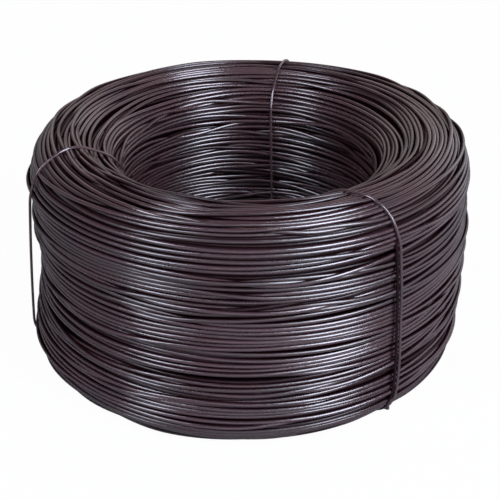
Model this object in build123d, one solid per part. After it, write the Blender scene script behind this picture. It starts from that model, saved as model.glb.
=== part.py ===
"""Coil of annealed steel wire, lying flat and held by three tie wires.

The coil is one turned solid: a rounded section round a bore, with hollow walls and with
grooves between bands of turns, close together on its crown and wider apart on its outer wall
and its base. Each tie is a thin wire drawn tight round that section. It runs straight where a
wall is hollow, bends where the section turns, lies in a shallow bed under the coil, and ends
in a short tail that is bent up beside it.

Origin: centre of the base, +Z up. Units: millimetres. The front of the coil faces -Y.
"""

import os

from build123d import *

# The coil
bore_radius = 42.0
wall_radius = 72.0
coil_height = 75.0
foot_spread = 1.4
waist_depth = 1.3
bore_hollow = 0.5

# The corners of the coil's section and the radii that round them, as shares of its width
section_width = wall_radius - bore_radius
foot_corner = 0.33 * section_width
shoulder_drop = 0.3 * section_width
shoulder_corner = 0.6 * section_width
crest_outer_inset = 0.18 * section_width
crest_outer_corner = 0.3 * section_width
crest_inner_inset = 0.57 * section_width
crest_inner_corner = 0.65 * section_width
lip_drop = 0.28 * section_width
lip_corner = 0.4 * section_width
bore_foot_corner = 0.27 * section_width

# The turns that show: how many turns of the wire lie between two grooves
wire_diameter = 1.4
crown_band_turns = 5
wall_band_turns = 7
groove_depth = 0.8
groove_width = 1.3
wall_steps = 2
corner_steps = 2

# The ties
tie_diameter = 0.9
tie_sides = 4
tie_clearance = 0.25
tie_ground_gap = 0.1
tie_foot_tightening = 3.0
bed_clearance = 0.35
left_tie_azimuth = 195.0
back_tie_azimuth = 80.0
right_tie_azimuth = -55.0

# The tail that each tie ends in
tail_length = 6.0
tail_lean = 32.0

foot_radius = wall_radius + foot_spread
tie_radius = tie_diameter / 2
tie_seat = tie_clearance + tie_radius
tie_base = tie_ground_gap + tie_radius
tie_azimuths = {
    "tie_wire_left": left_tie_azimuth,
    "tie_wire_back": back_tie_azimuth,
    "tie_wire_right": right_tie_azimuth,
}


def section_hull(base, bore_foot_bend, foot_bend):
    """Closed outline drawn tight round the coil's section, in the XZ plane.

    It stands on the height `base` and bends at its two feet by the given radii. Its edges run
    down the bore, out along the base, up the wall and back over the crown.
    """
    corners = [
        (bore_radius, base, bore_foot_bend),
        (foot_radius, base, foot_bend),
        (wall_radius, coil_height - shoulder_drop, shoulder_corner),
        (wall_radius - crest_outer_inset, coil_height, crest_outer_corner),
        (wall_radius - crest_inner_inset, coil_height, crest_inner_corner),
        (bore_radius, coil_height - lip_drop, lip_corner),
    ]
    points = [(radius, 0, height) for radius, height, _ in corners]
    return FilletPolyline(*points, radius=[bend for *_, bend in corners], close=True)


def sunk(line, along, depth):
    """Point at the fraction `along` of a stretch of the hull, moved into the section by `depth`."""
    heading = line % along
    return line @ along + Vector(-heading.Z, 0, heading.X) * depth


def plain(line, steps, hollow=0.0):
    """Stretch with no grooves, in a few straight steps, drawn in by `hollow` at its middle."""
    fractions = [step / steps for step in range(steps + 1)]
    return Polyline(*[sunk(line, along, 4 * hollow * along * (1 - along)) for along in fractions])


def grooved(line, band_turns, hollow=0.0):
    """Stretch of bands of so many turns, with an even row of grooves between, drawn in as `plain` is."""
    count = int(line.length / (band_turns * wire_diameter))
    half_width = groove_width / 2 / line.length
    marks = [(0, 0)]
    for index in range(count):
        along = (index + 0.5) / count
        marks += [(along - half_width, 0), (along, groove_depth), (along + half_width, 0)]
    marks += [(1, 0)]
    return Polyline(*[sunk(line, along, depth + 4 * hollow * along * (1 - along)) for along, depth in marks])


def coil_section():
    """Face of the coil's section: hollow walls, rounded feet, and grooves on all but the bore."""
    edges = section_hull(0, bore_foot_corner, foot_corner).edges()
    bore, bore_foot, base, foot, wall, shoulder, *crown = edges
    outline = [plain(bore, wall_steps, bore_hollow), plain(bore_foot, corner_steps)]
    outline += [grooved(base, wall_band_turns), plain(foot, corner_steps)]
    outline += [grooved(wall, wall_band_turns, waist_depth), plain(shoulder, wall_steps)]
    outline += [grooved(Wire(crown), crown_band_turns)]
    return make_face([edge for piece in outline for edge in piece.edges()])


def tie_bed():
    """Block that clears the coil's base round a tie at azimuth 0."""
    width = tie_diameter + 2 * bed_clearance
    depth = tie_ground_gap + tie_diameter + bed_clearance
    return Box(2 * foot_radius, width, 2 * depth, align=(Align.MIN, Align.CENTER, Align.CENTER))


def wire_coil():
    """Turned coil, with a bed for each tie cut across its base."""
    coil = revolve(coil_section(), Axis.Z)
    for azimuth in tie_azimuths.values():
        coil -= tie_bed().rotate(Axis.Z, azimuth)
    return coil


def tie_hull():
    """Outline that a tie is bent round: the section's, raised and with tighter feet."""
    shrink = tie_foot_tightening + tie_seat
    return section_hull(tie_base + tie_seat, bore_foot_corner - shrink, foot_corner - shrink)


def tie_path():
    """Centre line of a tie at azimuth 0: straight spans with an arc at each bend."""
    return Wire(offset(tie_hull(), tie_seat).edges())


def tie_tail():
    """Cut end of a tie at azimuth 0, bent up beside it from the foot of its outer span."""
    outer_span = tie_hull().edges()[4]
    root = sunk(outer_span, 0, -tie_seat)
    lie = Plane(origin=root, x_dir=(1, 0, 0), z_dir=Vector(0, 0, 1).rotate(Axis.X, tail_lean))
    return extrude(lie * RegularPolygon(tie_radius, tie_sides), tail_length)


def tie_wire(azimuth):
    """Tie drawn round the coil's section at an azimuth, as one solid with its tail."""
    path = tie_path()
    section = Plane(origin=path @ 0, z_dir=path % 0) * RegularPolygon(tie_radius, tie_sides)
    return (sweep(section, path) + tie_tail()).rotate(Axis.Z, azimuth)


os.makedirs("parts", exist_ok=True)
export_step(wire_coil(), "parts/wire_coil.step")
for name, azimuth in tie_azimuths.items():
    export_step(tie_wire(azimuth), f"parts/{name}.step")
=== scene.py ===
"""Dresses a coil of annealed steel wire that lies flat and is held by three tie wires.

The CAD gives the coil as one turned solid. Here its two outermost layers are real turns of
wire. They are settled against each other round the coil's section, so that they bunch, cross
and leave dark gaps as a machine-wound coil does, and the ties are drawn tight over them.

Sizes are in millimetres and become metres where a mesh is written. +Z is up and the front of
the coil faces -Y.
"""

import logging
import math
from dataclasses import dataclass, field
from enum import Enum

import bpy
import numpy as np
from mathutils import Euler, Matrix, Vector


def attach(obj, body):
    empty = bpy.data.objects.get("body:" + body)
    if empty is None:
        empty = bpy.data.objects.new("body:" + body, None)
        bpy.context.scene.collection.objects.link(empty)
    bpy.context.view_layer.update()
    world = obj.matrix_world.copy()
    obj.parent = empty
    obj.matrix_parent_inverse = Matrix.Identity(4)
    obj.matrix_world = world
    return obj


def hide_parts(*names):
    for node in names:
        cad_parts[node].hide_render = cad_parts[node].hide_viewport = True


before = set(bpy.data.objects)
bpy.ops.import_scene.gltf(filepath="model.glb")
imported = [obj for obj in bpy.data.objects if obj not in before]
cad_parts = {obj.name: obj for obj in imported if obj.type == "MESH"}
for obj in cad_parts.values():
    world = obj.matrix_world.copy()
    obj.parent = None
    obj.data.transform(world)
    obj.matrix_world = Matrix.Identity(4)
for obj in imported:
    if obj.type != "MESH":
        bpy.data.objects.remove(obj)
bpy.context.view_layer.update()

MM = 0.001
WELD = 0.01 * MM
FULL_TURN = 2 * math.pi
LOG = logging.getLogger("wire_coil")


class Face(Enum):
    """Faces of the coil that a turn can lie on."""

    BORE = "bore"
    BASE = "base"
    WALL = "wall"
    CROWN = "crown"


class Layer(Enum):
    """Layers of turns that show."""

    OUTER = "outer"
    UNDER = "under"


def linear(code: str) -> tuple[float, float, float, float]:
    """Turn an sRGB hex colour into the linear colour that a shader takes.

    Args:
        code: Six hex digits, such as "4a3f42".

    Returns:
        Red, green, blue and alpha, with alpha 1.
    """
    channels = [int(code[i : i + 2], 16) / 255 for i in (0, 2, 4)]
    return (*[c / 12.92 if c <= 0.04045 else ((c + 0.055) / 1.055) ** 2.4 for c in channels], 1.0)


def wrapped(angle: np.ndarray) -> np.ndarray:
    """Bring angles in radians to the half turn on either side of 0."""
    return (angle + math.pi) % FULL_TURN - math.pi


def deselect() -> None:
    """Leave no object selected, since the CAD nodes come selected."""
    bpy.ops.object.select_all(action="DESELECT")


def active_copy(source: bpy.types.Object, name: str) -> bpy.types.Object:
    """Copy an object together with its mesh.

    Args:
        source: The object to copy.
        name: The copy's name.

    Returns:
        The copy, linked into the scene.
    """
    twin = source.copy()
    twin.data = source.data.copy()
    twin.name = twin.data.name = name
    bpy.context.collection.objects.link(twin)
    return twin


def join(pieces: list[bpy.types.Object], name: str, material: bpy.types.Material) -> bpy.types.Object:
    """Join objects into one piece and give it its finish.

    Args:
        pieces: The objects to join.
        name: The joined piece's name.
        material: The finish.

    Returns:
        The joined piece.
    """
    deselect()
    for piece in pieces:
        piece.select_set(True)
    bpy.context.view_layer.objects.active = pieces[0]
    if len(pieces) > 1:
        bpy.ops.object.join()
    pieces[0].name = pieces[0].data.name = name
    pieces[0].data.materials.clear()
    pieces[0].data.materials.append(material)
    return pieces[0]


def paint(piece: bpy.types.Object, name: str, values: np.ndarray) -> None:
    """Write one number on each vertex of a piece, for its material to read.

    Args:
        piece: The piece to write on.
        name: The attribute's name.
        values: One number for each vertex.
    """
    piece.data.attributes.new(name, "FLOAT", "POINT").data.foreach_set("value", values)


def spin_round(steps: int) -> None:
    """Spin the mesh that is being edited once round the coil's axis, closed and facing outward.

    Args:
        steps: How many steps one turn is made in.
    """
    bpy.ops.mesh.select_all(action="SELECT")
    bpy.ops.mesh.spin(steps=steps, angle=FULL_TURN, center=(0, 0, 0), axis=(0, 0, 1))
    bpy.ops.mesh.select_all(action="SELECT")
    bpy.ops.mesh.remove_doubles(threshold=WELD)
    bpy.ops.mesh.normals_make_consistent(inside=False)


def add_node(tree: bpy.types.NodeTree, kind: str, links: dict | None = None, **settings) -> bpy.types.Node:
    """Add one node with its settings and links.

    Args:
        tree: The node tree that it goes into.
        kind: The node's type, such as "ShaderNodeTexNoise".
        links: Input name or number, to a value or to an output socket.
        **settings: Properties of the node.

    Returns:
        The new node.
    """
    node = tree.nodes.new(kind)
    for key, value in settings.items():
        setattr(node, key, value)
    for key, value in (links or {}).items():
        socket = node.inputs[key]
        if kind == "ShaderNodeMix":  # it has a hidden socket of each name for every other data type
            socket = next(s for s in node.inputs if s.name == key and s.enabled)
        if isinstance(value, bpy.types.NodeSocket):
            tree.links.new(value, socket)
        else:
            socket.default_value = value
    return node


def add_math(tree: bpy.types.NodeTree, operation: str, first: object, second: object) -> bpy.types.NodeSocket:
    """Add a node that works on two numbers.

    Args:
        tree: The node tree that it goes into.
        operation: The node's operation, such as "ADD".
        first: A value or an output socket.
        second: A value or an output socket.

    Returns:
        The socket that gives the result.
    """
    return add_node(tree, "ShaderNodeMath", {0: first, 1: second}, operation=operation).outputs[0]


def add_range(
    tree: bpy.types.NodeTree, value: object, old: tuple[float, float], new: tuple[float, float]
) -> bpy.types.NodeSocket:
    """Add a node that maps one range of numbers to another and stays inside it.

    Args:
        tree: The node tree that it goes into.
        value: The output socket to read.
        old: The range that the value is read in.
        new: The range that it is mapped to.

    Returns:
        The socket that gives the result.
    """
    links = {0: value, 1: old[0], 2: old[1], 3: new[0], 4: new[1]}
    return add_node(tree, "ShaderNodeMapRange", links).outputs[0]


def add_blend(tree: bpy.types.NodeTree, factor: object, first: object, second: object) -> bpy.types.NodeSocket:
    """Add a node that blends two colours.

    Args:
        tree: The node tree that it goes into.
        factor: The second colour's share.
        first: A colour or an output socket.
        second: A colour or an output socket.

    Returns:
        The socket that gives the result.
    """
    links = {"Factor": factor, "A": first, "B": second}
    return add_node(tree, "ShaderNodeMix", links, data_type="RGBA").outputs["Result"]


def add_noise(
    tree: bpy.types.NodeTree, place: object, width: float, detail: float, roughness: float = 0.5
) -> bpy.types.NodeSocket:
    """Add a noise whose spots are of a real size.

    Args:
        tree: The node tree that it goes into.
        place: The output socket that gives the place.
        width: The spots' width in millimetres.
        detail: How many finer noises are laid over the first.
        roughness: How strong those are.

    Returns:
        The socket that gives the noise.
    """
    links = {"Vector": place, "Scale": 1 / (width * MM), "Detail": detail, "Roughness": roughness}
    return add_node(tree, "ShaderNodeTexNoise", links).outputs["Fac"]


def new_tree(name: str) -> tuple[bpy.types.Material, bpy.types.NodeTree]:
    """Make an empty node material.

    Args:
        name: The material's name.

    Returns:
        The material and its node tree.
    """
    material = bpy.data.materials.new(name)
    material.use_nodes = True
    material.node_tree.nodes.clear()
    return material, material.node_tree


def add_rays(tree: bpy.types.NodeTree) -> tuple[bpy.types.Node, bpy.types.NodeSocket]:
    """Tell the rays that show the background itself from those that light the coil.

    Args:
        tree: The node tree that asks.

    Returns:
        The light path's node, and a socket that is 1 on camera and transmission rays.
    """
    rays = add_node(tree, "ShaderNodeLightPath")
    return rays, add_math(tree, "MAXIMUM", rays.outputs["Is Camera Ray"], rays.outputs["Is Transmission Ray"])


@dataclass(frozen=True)
class AnnealedScale:
    """Low-carbon steel wire, drawn and then annealed in a furnace, so it isn't bright.

    A thin scale of iron oxide with a film of oil over it covers the metal: dark brown with a
    mauve cast, and satin, so that a lamp draws a soft cool line along it. Each turn has its own
    tone and is mottled along its length. A turn's flanks, which face the next turns, are painted
    a flat dark colour instead: painted shade, which keeps the gaps between turns dark.
    """

    name: str = "annealed_steel_oxide"
    painted_shade: str = "1c0c0f"
    brown: str = "3a1e21"
    mauve: str = "553a3f"
    blue_grey: str = "3a3439"
    oxide_ior: float = 2.0
    dull: float = 0.35
    rubbed: float = 0.2
    oil: float = 1.0
    oil_roughness: float = 0.18
    oil_ior: float = 1.6
    mottle_length: float = 12.0
    mottle_shift: float = 7.0
    patch_width: float = 20.0
    speck_width: float = 2.2
    grain_width: float = 0.5
    kink_height: float = 0.6
    grain_height: float = 0.05

    def make(self) -> bpy.types.Material:
        """Build the material.

        Returns:
            The material, which reads each vertex's turn tone and its mask of painted shade.
        """
        material, tree = new_tree(self.name)
        place = add_node(tree, "ShaderNodeTexCoord").outputs["Object"]
        tone = add_node(tree, "ShaderNodeAttribute", attribute_name="turn_tone").outputs["Fac"]
        unshaded = add_node(tree, "ShaderNodeAttribute", attribute_name="unshaded").outputs["Fac"]
        split = add_node(tree, "ShaderNodeSeparateXYZ", {0: place})
        shift = add_math(tree, "MULTIPLY", tone, self.mottle_shift)
        along = add_node(tree, "ShaderNodeCombineXYZ", {0: split.outputs[0], 1: split.outputs[1], 2: shift})
        mottle = add_noise(tree, along.outputs[0], self.mottle_length, 3.0, 0.6)
        own = add_math(tree, "ADD", mottle, tone)
        oxide = self.oxide(tree, place, own)
        specks = add_noise(tree, place, self.speck_width, 3.0, 0.7)
        wear = add_math(tree, "ADD", specks, own)
        surface = add_node(
            tree,
            "ShaderNodeBsdfPrincipled",
            {
                "Base Color": oxide,
                "IOR": self.oxide_ior,
                "Roughness": add_range(tree, wear, (1.1, 1.9), (self.dull, self.rubbed)),
                "Coat Weight": self.oil,
                "Coat Roughness": self.oil_roughness,
                "Coat IOR": self.oil_ior,
                "Normal": self.relief(tree, place, mottle),
            },
        )
        # Painted shade: a low mask (flanks, under layer, core) swaps the oxide for a flat dark colour
        shade_bsdf = add_node(tree, "ShaderNodeBsdfDiffuse", {"Color": linear(self.painted_shade), "Roughness": 1.0})
        unshaded_share = add_range(tree, unshaded, (0.1, 0.8), (0.0, 1.0))
        both = add_node(tree, "ShaderNodeMixShader", {0: unshaded_share, 1: shade_bsdf.outputs[0], 2: surface.outputs[0]})
        add_node(tree, "ShaderNodeOutputMaterial", {"Surface": both.outputs[0]})
        return material

    def oxide(
        self, tree: bpy.types.NodeTree, place: bpy.types.NodeSocket, own: bpy.types.NodeSocket
    ) -> bpy.types.NodeSocket:
        """Colour the scale: brown to mauve from turn to turn, with blue-grey patches over several.

        Args:
            tree: The material's node tree.
            place: The socket that gives the place on the coil.
            own: The socket that gives the turn's own tone and its mottle.

        Returns:
            The socket that gives the colour.
        """
        warm = add_range(tree, own, (0.55, 1.35), (0.0, 1.0))
        scale = add_blend(tree, warm, linear(self.brown), linear(self.mauve))
        patches = add_noise(tree, place, self.patch_width, 3.0, 0.55)
        cool = add_range(tree, patches, (0.5, 0.7), (0.0, 0.5))
        return add_blend(tree, cool, scale, linear(self.blue_grey))

    def relief(
        self, tree: bpy.types.NodeTree, place: bpy.types.NodeSocket, mottle: bpy.types.NodeSocket
    ) -> bpy.types.NodeSocket:
        """Roughen the scale with slight kinks along a turn, which break the lamps' lines, and grain.

        Args:
            tree: The material's node tree.
            place: The socket that gives the place on the coil.
            mottle: The socket that gives the mottle along a turn.

        Returns:
            The socket that gives the surface's direction.
        """
        kinks = add_node(
            tree, "ShaderNodeBump", {"Strength": 0.6, "Distance": self.kink_height * MM, "Height": mottle}
        )
        grain = add_noise(tree, place, self.grain_width, 2.0)
        links = {"Strength": 0.2, "Distance": self.grain_height * MM, "Height": grain}
        return add_node(tree, "ShaderNodeBump", {**links, "Normal": kinks.outputs[0]}).outputs[0]


@dataclass(frozen=True)
class CoilSection:
    """Rounded section of the coil, with the sizes of the CAD solid."""

    bore_radius: float = 42.0
    wall_radius: float = 72.0
    height: float = 75.0
    foot_spread: float = 1.4
    sample: float = 0.25

    @property
    def middle(self) -> float:
        """The radius half-way between the bore and the wall."""
        return (self.bore_radius + self.wall_radius) / 2

    def corners(self) -> list[tuple[float, float, float]]:
        """List the corners as radius, height and bend.

        Returns:
            The corners in order: down the bore, out along the base, up the wall and back over
            the crown.
        """
        width = self.wall_radius - self.bore_radius
        return [
            (self.bore_radius, 0.0, 0.27 * width),
            (self.wall_radius + self.foot_spread, 0.0, 0.33 * width),
            (self.wall_radius, self.height - 0.3 * width, 0.6 * width),
            (self.wall_radius - 0.18 * width, self.height, 0.3 * width),
            (self.wall_radius - 0.57 * width, self.height, 0.65 * width),
            (self.bore_radius, self.height - 0.28 * width, 0.4 * width),
        ]

    def rounded(self) -> np.ndarray:
        """Round the corners.

        Returns:
            Rows of radius and height along the corners' arcs.
        """
        corners = np.array(self.corners())
        points = []
        for index, (radius, height, bend) in enumerate(corners):
            corner = np.array([radius, height])
            before = corners[index - 1][:2] - corner
            after = corners[(index + 1) % len(corners)][:2] - corner
            before, after = before / np.linalg.norm(before), after / np.linalg.norm(after)
            half = math.acos(float(before @ after)) / 2
            middle = (before + after) / np.linalg.norm(before + after)
            centre = corner + middle * bend / math.sin(half)
            sweep = math.pi - 2 * half
            count = max(4, int(sweep * bend / self.sample))
            for angle in np.linspace(-sweep / 2, sweep / 2, count):
                # The walk turns left at each corner, so the arc's radius turns left with it
                c, s = math.cos(angle), math.sin(angle)
                points.append(centre - middle @ np.array([[c, s], [-s, c]]) * bend)
        return np.array(points)

    def outline(self, inset: float) -> np.ndarray:
        """Walk round the section.

        Args:
            inset: How far inside the section's surface the walk runs.

        Returns:
            Rows of distance walked, radius, height, and the outward normal's two parts. The last
            row closes the walk.
        """
        points = self.rounded()
        parts = []
        for start, run in zip(points, np.roll(points, -1, 0) - points):
            count = max(1, int(np.linalg.norm(run) / self.sample))
            parts.append(start + run * (np.arange(count)[:, None] / count))
        walk = np.concatenate(parts)
        heading = np.roll(walk, -1, 0) - np.roll(walk, 1, 0)
        heading /= np.linalg.norm(heading, axis=1, keepdims=True)
        normal = np.stack([heading[:, 1], -heading[:, 0]], 1)
        walk = walk - normal * inset
        walk, normal = np.vstack([walk, walk[:1]]), np.vstack([normal, normal[:1]])
        distance = np.concatenate([[0], np.cumsum(np.linalg.norm(np.diff(walk, axis=0), axis=1))])
        return np.column_stack([distance, walk, normal])


@dataclass(frozen=True)
class Swell:
    """Place where the outer wall stands proud of the CAD's, or falls back from it."""

    azimuth: float
    spread: float
    height: float
    reach: float
    out: float

    def at(self, azimuth: np.ndarray, height: np.ndarray) -> np.ndarray:
        """Say how far the wall moves out.

        Args:
            azimuth: Azimuths in radians.
            height: Heights at those azimuths.

        Returns:
            How far the wall moves out at each of them.
        """
        turn = wrapped(azimuth - math.radians(self.azimuth)) / math.radians(self.spread)
        return self.out * np.exp(-(turn**2) - ((height - self.height) / self.reach) ** 2)


@dataclass(frozen=True)
class TieLine:
    """Where a tie crosses the coil: it runs a little askew, as if drawn tight by hand."""

    name: str
    node: str
    azimuth: float
    skew_out: float
    skew_up: float
    doubled: bool = False

    def at(self, radius: np.ndarray, height: np.ndarray) -> np.ndarray:
        """Give the azimuth in radians where the tie passes a radius and height."""
        skew = self.skew_out * (radius / 72 - 0.8) + self.skew_up * (height / 72 - 0.5)
        return math.radians(self.azimuth) + skew


TIES = (
    TieLine("left_tie", "tie_wire_left", 191.5, 0.30, 0.24),
    TieLine("back_tie", "tie_wire_back", 75.5, -0.12, 0.09),
    TieLine("right_tie", "tie_wire_right", -58.4, 0.44, -0.05, doubled=True),
)


@dataclass
class Winding:
    """The outermost turns, settled against each other round the coil's section.

    Each turn is followed round the coil in stations. At a station it has a place along the
    section's outline and a rise above the outer layer's line. No operator packs turns against
    each other, so their routes are worked out here.
    """

    section: CoilSection = field(default_factory=CoilSection)
    wire_diameter: float = 1.4
    pitch: float = 1.46
    layer_drop: float = 1.2
    stations: int = 168
    seed: int = 11

    # How unevenly the turns are laid before they settle
    bunching: float = 0.95
    bunch_waves: int = 90
    wander: float = 0.55
    weave: float = 0.6
    most_waves: int = 6
    missing: float = 0.12
    rovers: float = 0.09
    rove: float = 2.8
    rover_rise: float = 0.6

    # How they settle
    rounds: int = 240
    reach: int = 12
    give: float = 0.45
    hold: float = 0.02
    sink: float = 0.01
    smoothing: float = 0.25
    smooth_passes: int = 3
    foot_height: float = 9.0

    # The shape of the whole coil
    waist: float = 1.3
    bore_hollow: float = 0.5
    waist_height: float = 35.0
    waist_reach: float = 29.0
    lean: float = 0.0266
    tie_lift: float = 1.05
    swells: tuple[Swell, ...] = (
        Swell(0, 40, 38, 17, 1.6),
        Swell(0, 40, 3, 8, -1.5),
        Swell(0, 40, 57, 7, -1.2),
        Swell(185, 35, 34, 16, -1.5),
        Swell(-55, 22, 36, 18, 0.9),
    )

    # What settling works out
    line: np.ndarray = field(init=False)
    girth: float = field(init=False)
    count: int = field(init=False)
    azimuth: np.ndarray = field(init=False)
    outer: np.ndarray = field(init=False)
    place: np.ndarray = field(init=False)
    rise: np.ndarray = field(init=False)

    def settle(self) -> None:
        """Lay the turns out with some wander, then pull them in until none overlaps."""
        self.lay_out()
        aim, aim_rise = self.place.copy(), self.rise.copy()
        for _ in range(self.rounds):
            push, lift = self.overlaps()
            self.place += self.give * push + self.hold * (aim - self.place)
            self.rise += self.give * lift + self.hold * (aim_rise - self.rise) - self.sink
            self.rise = np.maximum(self.rise, -self.layer_drop)
            self.rise = np.minimum(self.rise, self.headroom())
            for _ in range(self.smooth_passes):
                for values in (self.place, self.rise):
                    values += self.smoothing * (np.roll(values, 1, 1) + np.roll(values, -1, 1) - 2 * values)

    def lay_out(self) -> None:
        """Lay two layers of turns round the section, unevenly, with a few that rove over the rest."""
        rng = np.random.default_rng(self.seed)
        self.line = self.section.outline(self.wire_diameter / 2)
        self.girth = float(self.line[-1, 0])
        self.count = 2 * int(self.girth / self.pitch)
        self.azimuth = np.arange(self.stations) * FULL_TURN / self.stations
        index = np.arange(self.count)
        base = index[:, None] * self.girth / self.count
        self.outer = index % 2 == 0
        place = np.repeat(base, self.stations, 1) + self.bunch(rng, base)
        place += self.waves(rng, self.most_waves) * self.wander
        roving = rng.random(self.count) < self.rovers
        place += np.where(roving[:, None], self.waves(rng, 1) * self.rove, 0)
        rise = np.where(self.outer, 0.0, -self.layer_drop)[:, None]
        rise = rise + self.waves(rng, self.most_waves) * self.weave
        rise += np.where(roving, self.rover_rise, 0)[:, None]
        kept = self.outer | (rng.random(self.count) > self.missing)
        self.place, self.rise, self.outer = place[kept], rise[kept], self.outer[kept]
        self.count = len(self.place)

    def waves(self, rng: np.random.Generator, most: int) -> np.ndarray:
        """Draw a smooth closed curve of unit size for each turn.

        Args:
            rng: The source of chance.
            most: The most waves that a curve has round the coil.

        Returns:
            A row for each turn, with a number for each station.
        """
        total = np.zeros((self.count, len(self.azimuth)))
        for number in range(1, most + 1):
            size = rng.normal(size=(self.count, 1)) / math.sqrt(most)
            total += size * np.cos(number * self.azimuth + rng.uniform(0, FULL_TURN, (self.count, 1)))
        return total

    def bunch(self, rng: np.random.Generator, base: np.ndarray) -> np.ndarray:
        """Draw the shift that neighbours share, which packs them in one place and parts them in another.

        Args:
            rng: The source of chance.
            base: Each turn's even place along the section's outline.

        Returns:
            A row for each turn, with a shift for each station.
        """
        total = np.zeros((self.count, len(self.azimuth)))
        for _ in range(self.bunch_waves):
            across = rng.integers(5, 45) * 2 * math.pi / self.girth
            phase = across * base + rng.integers(-5, 6) * self.azimuth + rng.uniform(0, FULL_TURN)
            total += np.cos(phase) / math.sqrt(self.bunch_waves / 2)
        return total * self.bunching

    def overlaps(self) -> tuple[np.ndarray, np.ndarray]:
        """Find how far each turn has to move at each station to clear its neighbours.

        Returns:
            The moves along the outline and the moves out of it.
        """
        push, lift = np.zeros_like(self.place), np.zeros_like(self.rise)
        for other in range(1, self.reach + 1):
            along = np.roll(self.place, -other, 0) - self.place
            along = (along + self.girth / 2) % self.girth - self.girth / 2
            up = np.roll(self.rise, -other, 0) - self.rise
            gap = np.sqrt(along**2 + up**2) + 1e-9
            over = np.maximum(self.wire_diameter - gap, 0) / gap * 0.5
            push -= along * over
            lift -= up * over
            push += np.roll(along * over, other, 0)
            lift += np.roll(up * over, other, 0)
        return push, lift

    def headroom(self) -> np.ndarray:
        """Say how high each turn may rise: under the coil, nothing stands below the ground."""
        height = np.interp(self.place % self.girth, self.line[:, 0], self.line[:, 2])
        room = np.maximum(height - self.wire_diameter / 2, 0) * 0.5
        return np.where(height < self.foot_height, room, np.inf)

    def route(self) -> tuple[np.ndarray, np.ndarray]:
        """Follow the turns round the coil.

        Returns:
            Each turn's radius and its height, at every station.
        """
        at = self.place % self.girth
        s, r, z, nr, nz = self.line.T
        radius = np.interp(at, s, r) + self.rise * np.interp(at, s, nr)
        height = np.interp(at, s, z) + self.rise * np.interp(at, s, nz)
        middle = self.section.middle
        outward = np.clip((radius - middle) / (self.section.wall_radius - middle), 0, 1)
        mid_height = np.clip(1 - ((height - self.waist_height) / self.waist_reach) ** 2, 0, 1)
        swell = sum(swell.at(self.azimuth, height) for swell in self.swells)
        radius = radius + outward * (swell - self.waist * mid_height)
        inward = np.clip((middle - radius) / (middle - self.section.bore_radius), 0, 1)
        radius += inward * self.bore_hollow * mid_height
        under = np.clip(1 - (height - 0.8) / 8, 0, 1) ** 2
        for tie in TIES:
            turn = wrapped(self.azimuth - tie.at(radius, height))
            height = height + self.tie_lift * under * np.exp(-((turn * radius / 7) ** 4))
        return radius, height

    def facing(self) -> np.ndarray:
        """Give the direction out of the coil for every turn and station, as its two parts."""
        at = self.place % self.girth
        return np.stack([np.interp(at, self.line[:, 0], self.line[:, column]) for column in (3, 4)], -1)

    def ring_of(self, tie: TieLine) -> np.ndarray:
        """Find where the turns pass under a tie.

        Args:
            tie: The tie.

        Returns:
            Rows of radius and height, one for each turn.
        """
        radius, height = self.route()
        station = np.zeros(self.count, int)
        index = np.arange(self.count)
        for _ in range(3):
            angle = tie.at(radius[index, station], height[index, station])
            station = np.rint(angle / FULL_TURN * self.stations).astype(int) % self.stations
        return np.stack([radius[index, station], height[index, station]], 1)


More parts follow.
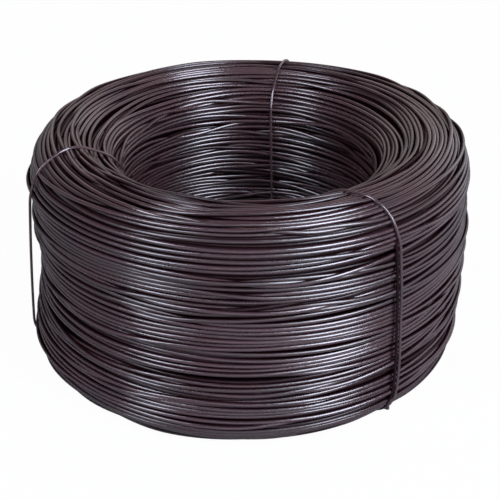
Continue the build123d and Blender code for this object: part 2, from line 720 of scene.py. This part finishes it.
@dataclass
class Turns:
    """Meshes of the settled turns, in one piece for each face of the coil and each layer."""

    winding: Winding
    sides: int = 8
    tone_seed: int = 5
    # Painted shade: turns in the bore take only the darker, browner half of the tones
    bore_shade_tone: float = 0.5
    # The under layer's turns take more painted shade, as they lie deeper
    under_unshaded: float = 0.35
    crown_depth: float = 10.0
    base_depth: float = 3.0

    def master(self) -> bpy.types.Object:
        """Model one round turn.

        Returns:
            A ring of the wire's section, spun round the coil's axis at the wall's radius.
        """
        deselect()
        bpy.ops.mesh.primitive_circle_add(
            vertices=self.sides,
            radius=self.winding.wire_diameter / 2 * MM,
            location=(self.winding.section.wall_radius * MM, 0, 0),
            rotation=(math.pi / 2, 0, 0),
        )
        ring = bpy.context.object
        bpy.ops.object.transform_apply(location=True, rotation=True, scale=True)
        bpy.ops.object.mode_set(mode="EDIT")
        spin_round(self.winding.stations)
        bpy.ops.object.mode_set(mode="OBJECT")
        bpy.ops.object.shade_smooth()
        return ring

    def face(self, radius: float, height: float) -> Face:
        """Name the face of the coil that a turn lies on.

        Args:
            radius: The turn's mean radius.
            height: The turn's mean height.

        Returns:
            The face.
        """
        section = self.winding.section
        if height > section.height - self.crown_depth:
            return Face.CROWN
        if height < self.base_depth:
            return Face.BASE
        return Face.WALL if radius > section.middle else Face.BORE

    def build(self, material: bpy.types.Material) -> list[bpy.types.Object]:
        """Copy the master for every turn, bend each copy along its turn, and join them by face and layer.

        Args:
            material: The turns' finish.

        Returns:
            The joined pieces.
        """
        ring = self.master()
        flat = np.empty(len(ring.data.vertices) * 3)
        ring.data.vertices.foreach_get("co", flat)
        flat = flat.reshape(-1, 3) / MM
        angle = np.arctan2(flat[:, 1], flat[:, 0])
        station = np.rint(angle / FULL_TURN * self.winding.stations).astype(int) % self.winding.stations
        out = np.hypot(flat[:, 0], flat[:, 1]) - self.winding.section.wall_radius
        up = flat[:, 2]
        radius, height = self.winding.route()
        facing = self.winding.facing()
        azimuth = self.winding.azimuth[station]
        rng = np.random.default_rng(self.tone_seed)
        groups: dict[str, list[bpy.types.Object]] = {}
        for turn in range(self.winding.count):
            copy = active_copy(ring, f"turn_{turn}")
            r = radius[turn][station] + out
            z = height[turn][station] + up
            place = np.stack([r * np.cos(azimuth) + self.winding.lean * z, r * np.sin(azimuth), z], 1)
            copy.data.vertices.foreach_set("co", (place * MM).ravel())
            face = self.face(radius[turn].mean(), height[turn].mean())
            layer = Layer.OUTER if self.winding.outer[turn] else Layer.UNDER
            # Painted shade: the bore's turns are kept to the darker tones
            tone = rng.random() * (self.bore_shade_tone if face is Face.BORE else 1.0)
            paint(copy, "turn_tone", np.full(len(place), tone))
            # Painted shade: a wire's flanks, which face its neighbours, are marked for the dark flank colour
            outward = out * facing[turn, station, 0] + up * facing[turn, station, 1]
            open_side = np.clip(outward / (self.winding.wire_diameter / 2), 0, 1)
            paint(copy, "unshaded", open_side * (1.0 if layer is Layer.OUTER else self.under_unshaded))
            groups.setdefault(f"{face.value}_turns_{layer.value}", []).append(copy)
        bpy.data.objects.remove(ring)
        made = []
        for name, members in groups.items():
            made.append(join(members, name, material))
            LOG.info("%s: %d turns, %d triangles", name, len(members), 2 * len(made[-1].data.polygons))
        return made


def convex(points: np.ndarray) -> np.ndarray:
    """Stretch a band round points in a plane.

    Args:
        points: Rows of two coordinates.

    Returns:
        The points that the band touches, in order and counter-clockwise.
    """
    order = points[np.lexsort((points[:, 1], points[:, 0]))]
    halves = []
    for side in (order, order[::-1]):
        chain: list[np.ndarray] = []
        for point in side:
            while len(chain) > 1:
                first, second = chain[-1] - chain[-2], point - chain[-2]
                if first[0] * second[1] - first[1] * second[0] > 0:
                    break
                chain.pop()
            chain.append(point)
        halves += chain[:-1]
    return np.array(halves)


def even(path: np.ndarray, step: float, closed: bool) -> np.ndarray:
    """Divide a path into even steps.

    Args:
        path: Rows of coordinates.
        step: The rough length of a step.
        closed: Whether the path runs back to its start.

    Returns:
        The points of the evenly divided path.
    """
    if closed:
        path = np.vstack([path, path[:1]])
    walked = np.concatenate([[0], np.cumsum(np.linalg.norm(np.diff(path, axis=0), axis=1))])
    marks = np.linspace(0, walked[-1], int(walked[-1] / step) + 1)
    if closed:
        marks = marks[:-1]
    return np.stack([np.interp(marks, walked, column) for column in path.T], 1)


@dataclass
class Tie:
    """A thin wire drawn tight round the coil's section and hooked on itself at the foot."""

    line: TieLine
    winding: Winding
    diameter: float = 0.9
    slack: float = 0.03
    step: float = 1.6
    tone: float = 0.95
    hook_steps: int = 6
    hook_step: float = 0.8
    second_top: float = 65.0
    second_foot: float = 3.0
    second_depth: float = 0.4
    # Painted shade: the second strand takes the dark flank colour, as if it lay in the tie's shadow
    second_unshaded: float = 0.2

    def path(self) -> np.ndarray:
        """Draw the tie's centre line tight over the turns that it crosses.

        Returns:
            Rows of radius and height, counter-clockwise.
        """
        turns = self.winding.ring_of(self.line)
        reach = (self.winding.wire_diameter + self.diameter) / 2 + self.slack
        angle = np.linspace(0, FULL_TURN, 32, endpoint=False)
        rim = np.stack([np.cos(angle), np.sin(angle)], 1) * reach
        band = even(convex((turns[:, None] + rim).reshape(-1, 2)), self.step, True)
        for _ in range(2):
            band = (np.roll(band, 1, 0) + 2 * band + np.roll(band, -1, 0)) / 4
        return band

    def lay(self, band: np.ndarray, aside: np.ndarray | float = 0.0) -> np.ndarray:
        """Turn radius and height into a place on the coil.

        Args:
            band: Rows of radius and height.
            aside: How far the points move along the coil's girth.

        Returns:
            Rows of three coordinates.
        """
        radius, height = band[:, 0], band[:, 1]
        angle = self.line.at(radius, height) + aside / radius
        lean = self.winding.lean * height
        return np.stack([radius * np.cos(angle) + lean, radius * np.sin(angle), height], 1)

    def strand(self, points: np.ndarray, closed: bool, name: str, unshaded: float = 1.0) -> bpy.types.Object:
        """Draw a smooth curve through points and make it a wire.

        Args:
            points: Rows of three coordinates.
            closed: Whether the wire runs back to its start.
            name: The wire's name.
            unshaded: How little painted shade it takes; low values give it the dark flank colour.

        Returns:
            The wire as a mesh.
        """
        data = bpy.data.curves.new(name, "CURVE")
        data.dimensions = "3D"
        spline = data.splines.new("NURBS")
        spline.points.add(len(points) - 1)
        spline.points.foreach_set("co", np.column_stack([points * MM, np.ones(len(points))]).ravel())
        spline.use_cyclic_u = closed
        spline.order_u = 3
        spline.use_endpoint_u = not closed
        spline.resolution_u = 2
        data.bevel_depth = self.diameter / 2 * MM
        data.bevel_resolution = 3
        data.use_fill_caps = True
        tie = bpy.data.objects.new(name, data)
        bpy.context.collection.objects.link(tie)
        deselect()
        tie.select_set(True)
        bpy.context.view_layer.objects.active = tie
        bpy.ops.object.convert(target="MESH")
        tie = bpy.context.object
        bpy.ops.object.shade_smooth()
        paint(tie, "turn_tone", np.full(len(tie.data.vertices), self.tone))
        paint(tie, "unshaded", np.full(len(tie.data.vertices), unshaded))
        return tie

    def hook(self, band: np.ndarray) -> bpy.types.Object:
        """Draw the tie's end, which is hooked over the tie at the foot of the wall.

        Args:
            band: The tie's centre line.

        Returns:
            The end as a mesh.
        """
        start = int(np.argmin(np.abs(band[:, 1] - 0.6) + 10 * (band[:, 0] < 70)))
        order = [(start + i) % len(band) for i in range(-1, self.hook_steps - 1)]
        foot = even(band[order], self.hook_step, False)
        heading = np.gradient(foot, axis=0)
        heading /= np.linalg.norm(heading, axis=1, keepdims=True)
        out = np.stack([heading[:, 1], -heading[:, 0]], 1)
        turn = np.pi * np.clip((np.linspace(0, 1, len(foot)) - 0.15) / 0.45, 0, 1)
        hooked = foot + out * (self.diameter * np.sin(turn))[:, None]
        return self.strand(self.lay(hooked, self.diameter * np.cos(turn)), False, self.line.name + "_tail")

    def second(self, band: np.ndarray) -> bpy.types.Object:
        """Draw the second strand that lies beside a doubled tie on the outer wall, painted dark as shade.

        Args:
            band: The tie's centre line.

        Returns:
            The strand as a mesh.
        """
        wall = (band[:, 0] > 60) & (band[:, 1] < self.second_top) & (band[:, 1] > self.second_foot)
        beside = self.lay(band[wall] - [self.second_depth, 0], -self.diameter)
        return self.strand(beside, False, self.line.name + "_second", self.second_unshaded)

    def build(self, material: bpy.types.Material) -> bpy.types.Object:
        """Draw the loop, its hooked end and any second strand, and join them.

        Args:
            material: The tie's finish.

        Returns:
            The tie.
        """
        band = self.path()
        strands = [self.strand(self.lay(band), True, self.line.name), self.hook(band)]
        if self.line.doubled:
            strands.append(self.second(band))
        tie = join(strands, self.line.name, material)
        LOG.info("%s: %d triangles", self.line.name, 2 * len(tie.data.polygons))
        return tie


@dataclass(frozen=True)
class Core:
    """The turns further in, seen only as darkness through the gaps."""

    section: CoilSection = field(default_factory=CoilSection)
    depth: float = 3.0
    wall_depth: float = 3.2
    waist_height: float = 35.0
    waist_reach: float = 32.0
    thinning: int = 8
    steps: int = 96

    def build(self, material: bpy.types.Material) -> bpy.types.Object:
        """Model the core: a section drawn in from the coil's, spun round the axis.

        Args:
            material: The core's finish, of which it shows only the dark painted shade.

        Returns:
            The core.
        """
        line = self.section.outline(self.depth)[: -1 : self.thinning]
        waist = np.clip(1 - ((line[:, 2] - self.waist_height) / self.waist_reach) ** 2, 0, 1)
        line[:, 1] -= self.wall_depth * waist * (line[:, 1] > self.section.middle)
        deselect()
        bpy.ops.mesh.primitive_circle_add(vertices=len(line), radius=1 * MM)
        core = bpy.context.object
        core.name = core.data.name = "coil_core"
        section = np.stack([line[:, 1], 0 * line[:, 1], line[:, 2]], 1)
        core.data.vertices.foreach_set("co", section.ravel() * MM)
        bpy.ops.object.mode_set(mode="EDIT")
        spin_round(self.steps)
        bpy.ops.object.mode_set(mode="OBJECT")
        bpy.ops.object.shade_smooth()
        # Painted shade: with no mask on its vertices, the core takes only the flat dark flank colour
        core.data.materials.append(material)
        return core


@dataclass(frozen=True)
class Softbox:
    """Soft lamp that faces the coil from an azimuth and an elevation in degrees.

    Its distance and its size are in metres.
    """

    name: str
    azimuth: float
    elevation: float
    distance: float
    size: tuple[float, float]
    watts: float
    colour: str

    def hang(self) -> None:
        """Hang the lamp where the camera doesn't see it."""
        data = bpy.data.lights.new(self.name, "AREA")
        data.shape = "RECTANGLE"
        data.size, data.size_y = self.size
        data.energy = self.watts
        data.color = linear(self.colour)[:3]
        lamp = bpy.data.objects.new(self.name, data)
        lamp.visible_camera = False
        bpy.context.collection.objects.link(lamp)
        a, e = math.radians(self.azimuth), math.radians(self.elevation)
        out = Vector((math.cos(a) * math.cos(e), math.sin(a) * math.cos(e), math.sin(e)))
        aim = Vector((0, 0, 0.035))
        turn = out.to_track_quat("Z", "Y").to_matrix().to_4x4()
        lamp.matrix_world = Matrix.Translation(aim + out * self.distance) @ turn


@dataclass(frozen=True)
class Studio:
    """White floor and backdrop, soft lamps, and the camera.

    Two tall softboxes draw the two bands of light down the coil. Weak ones at the back, at the
    right and low in front lift its edges and its middle.
    """

    distance: float = 396.0
    elevation: float = 33.046
    yaw: float = 0.289
    pitch: float = -3.625
    roll: float = -0.28
    focal_pixels: float = 1102.1
    sensor_width: float = 36.0
    ambient: float = 0.14
    fill: float = 0.02
    horizon: float = 0.22
    horizon_height: float = 0.42
    floor_glow: float = 0.97
    softboxes: tuple[Softbox, ...] = (
        Softbox("left_softbox", -142, 37, 2.2, (0.6, 1.9), 20.0, "e2e9fc"),
        Softbox("right_softbox", -47, 37, 2.2, (0.95, 1.9), 50.0, "e2e9fc"),
        Softbox("back_softbox", 80, 34, 2.6, (3.6, 1.3), 7.0, "fff2f0"),
        Softbox("side_softbox", 24, 13, 2.3, (4.0, 0.9), 8.0, "f4f2ff"),
        Softbox("front_softbox", -75, 8, 2.4, (3.2, 0.5), 6.0, "f4f2ff"),
    )

    def camera(self) -> None:
        """Stand the camera where the photograph was taken from."""
        data = bpy.data.cameras.new("photo_camera")
        camera = bpy.data.objects.new("photo_camera", data)
        bpy.context.collection.objects.link(camera)
        data.sensor_width = self.sensor_width
        data.lens = self.focal_pixels / 500 * self.sensor_width
        data.clip_start, data.clip_end = 0.01, 20
        e = math.radians(self.elevation)
        camera.location = Vector((0, -math.cos(e), math.sin(e))) * self.distance * MM
        down = math.radians(self.elevation + self.pitch)
        look = Euler((math.pi / 2 - down, 0, -math.radians(self.yaw)), "XYZ").to_matrix()
        turn = (look @ Matrix.Rotation(math.radians(self.roll), 3, "Z")).to_4x4()
        camera.matrix_world = Matrix.Translation(camera.location) @ turn
        bpy.context.scene.camera = camera

    def floor(self) -> None:
        """Lay the floor: plain white paper with a trace of shadow, which throws little light back."""
        deselect()
        bpy.ops.mesh.primitive_plane_add(size=8, location=(0, 0, -0.0002))
        floor = bpy.context.object
        floor.name = floor.data.name = "studio_floor"
        material, tree = new_tree("white_paper")
        _, seen = add_rays(tree)
        colour = add_blend(tree, seen, linear("888888"), linear("f6f6f6"))
        paper = add_node(tree, "ShaderNodeBsdfDiffuse", {"Color": colour})
        glow = add_node(tree, "ShaderNodeEmission", {"Color": (1, 1, 1, 1), "Strength": 1.0})
        part = add_math(tree, "MULTIPLY", seen, self.floor_glow)
        mix = add_node(tree, "ShaderNodeMixShader", {0: part, 1: paper.outputs[0], 2: glow.outputs[0]})
        add_node(tree, "ShaderNodeOutputMaterial", {"Surface": mix.outputs[0]})
        floor.data.materials.append(material)

    def world(self) -> None:
        """Surround the coil with white.

        The camera sees it as pure white. What the wire mirrors of it is dimmer and fades from the
        horizon up, and what lights the wire is dim and even.
        """
        world = bpy.data.worlds.new("studio_world")
        bpy.context.scene.world = world
        world.use_nodes = True
        tree = world.node_tree
        tree.nodes.clear()
        rays, seen = add_rays(tree)
        way = add_node(tree, "ShaderNodeTexCoord")
        height = add_node(tree, "ShaderNodeSeparateXYZ", {0: way.outputs["Generated"]})
        mirrored = add_range(tree, height.outputs[2], (0.0, self.horizon_height), (self.horizon, self.fill))
        unseen = add_node(
            tree,
            "ShaderNodeMix",
            {"Factor": rays.outputs["Is Glossy Ray"], "A": self.ambient, "B": mirrored},
            data_type="FLOAT",
        )
        strength = add_math(tree, "MAXIMUM", seen, unseen.outputs[0])
        back = add_node(tree, "ShaderNodeBackground", {"Color": (1, 1, 1, 1), "Strength": strength})
        add_node(tree, "ShaderNodeOutputWorld", {"Surface": back.outputs[0]})

    def build(self) -> None:
        """Set up the whole studio."""
        self.camera()
        self.floor()
        self.world()
        for softbox in self.softboxes:
            softbox.hang()
        bpy.context.scene.view_settings.view_transform = "Standard"


def main() -> None:
    """Build the pieces in order and report each of them."""
    logging.basicConfig(level=logging.INFO, format="%(message)s")
    Studio().build()
    winding = Winding()
    winding.settle()
    steel = AnnealedScale().make()
    core = Core().build(steel)
    LOG.info("%s: %d triangles", core.name, 2 * len(core.data.polygons))
    for piece in [core, *Turns(winding).build(steel)]:
        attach(piece, "root")
        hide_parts("wire_coil")
    for line in TIES:
        tie = Tie(line, winding).build(steel)
        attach(tie, "root")
        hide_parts(line.node)


if __name__ == "__main__":
    main()
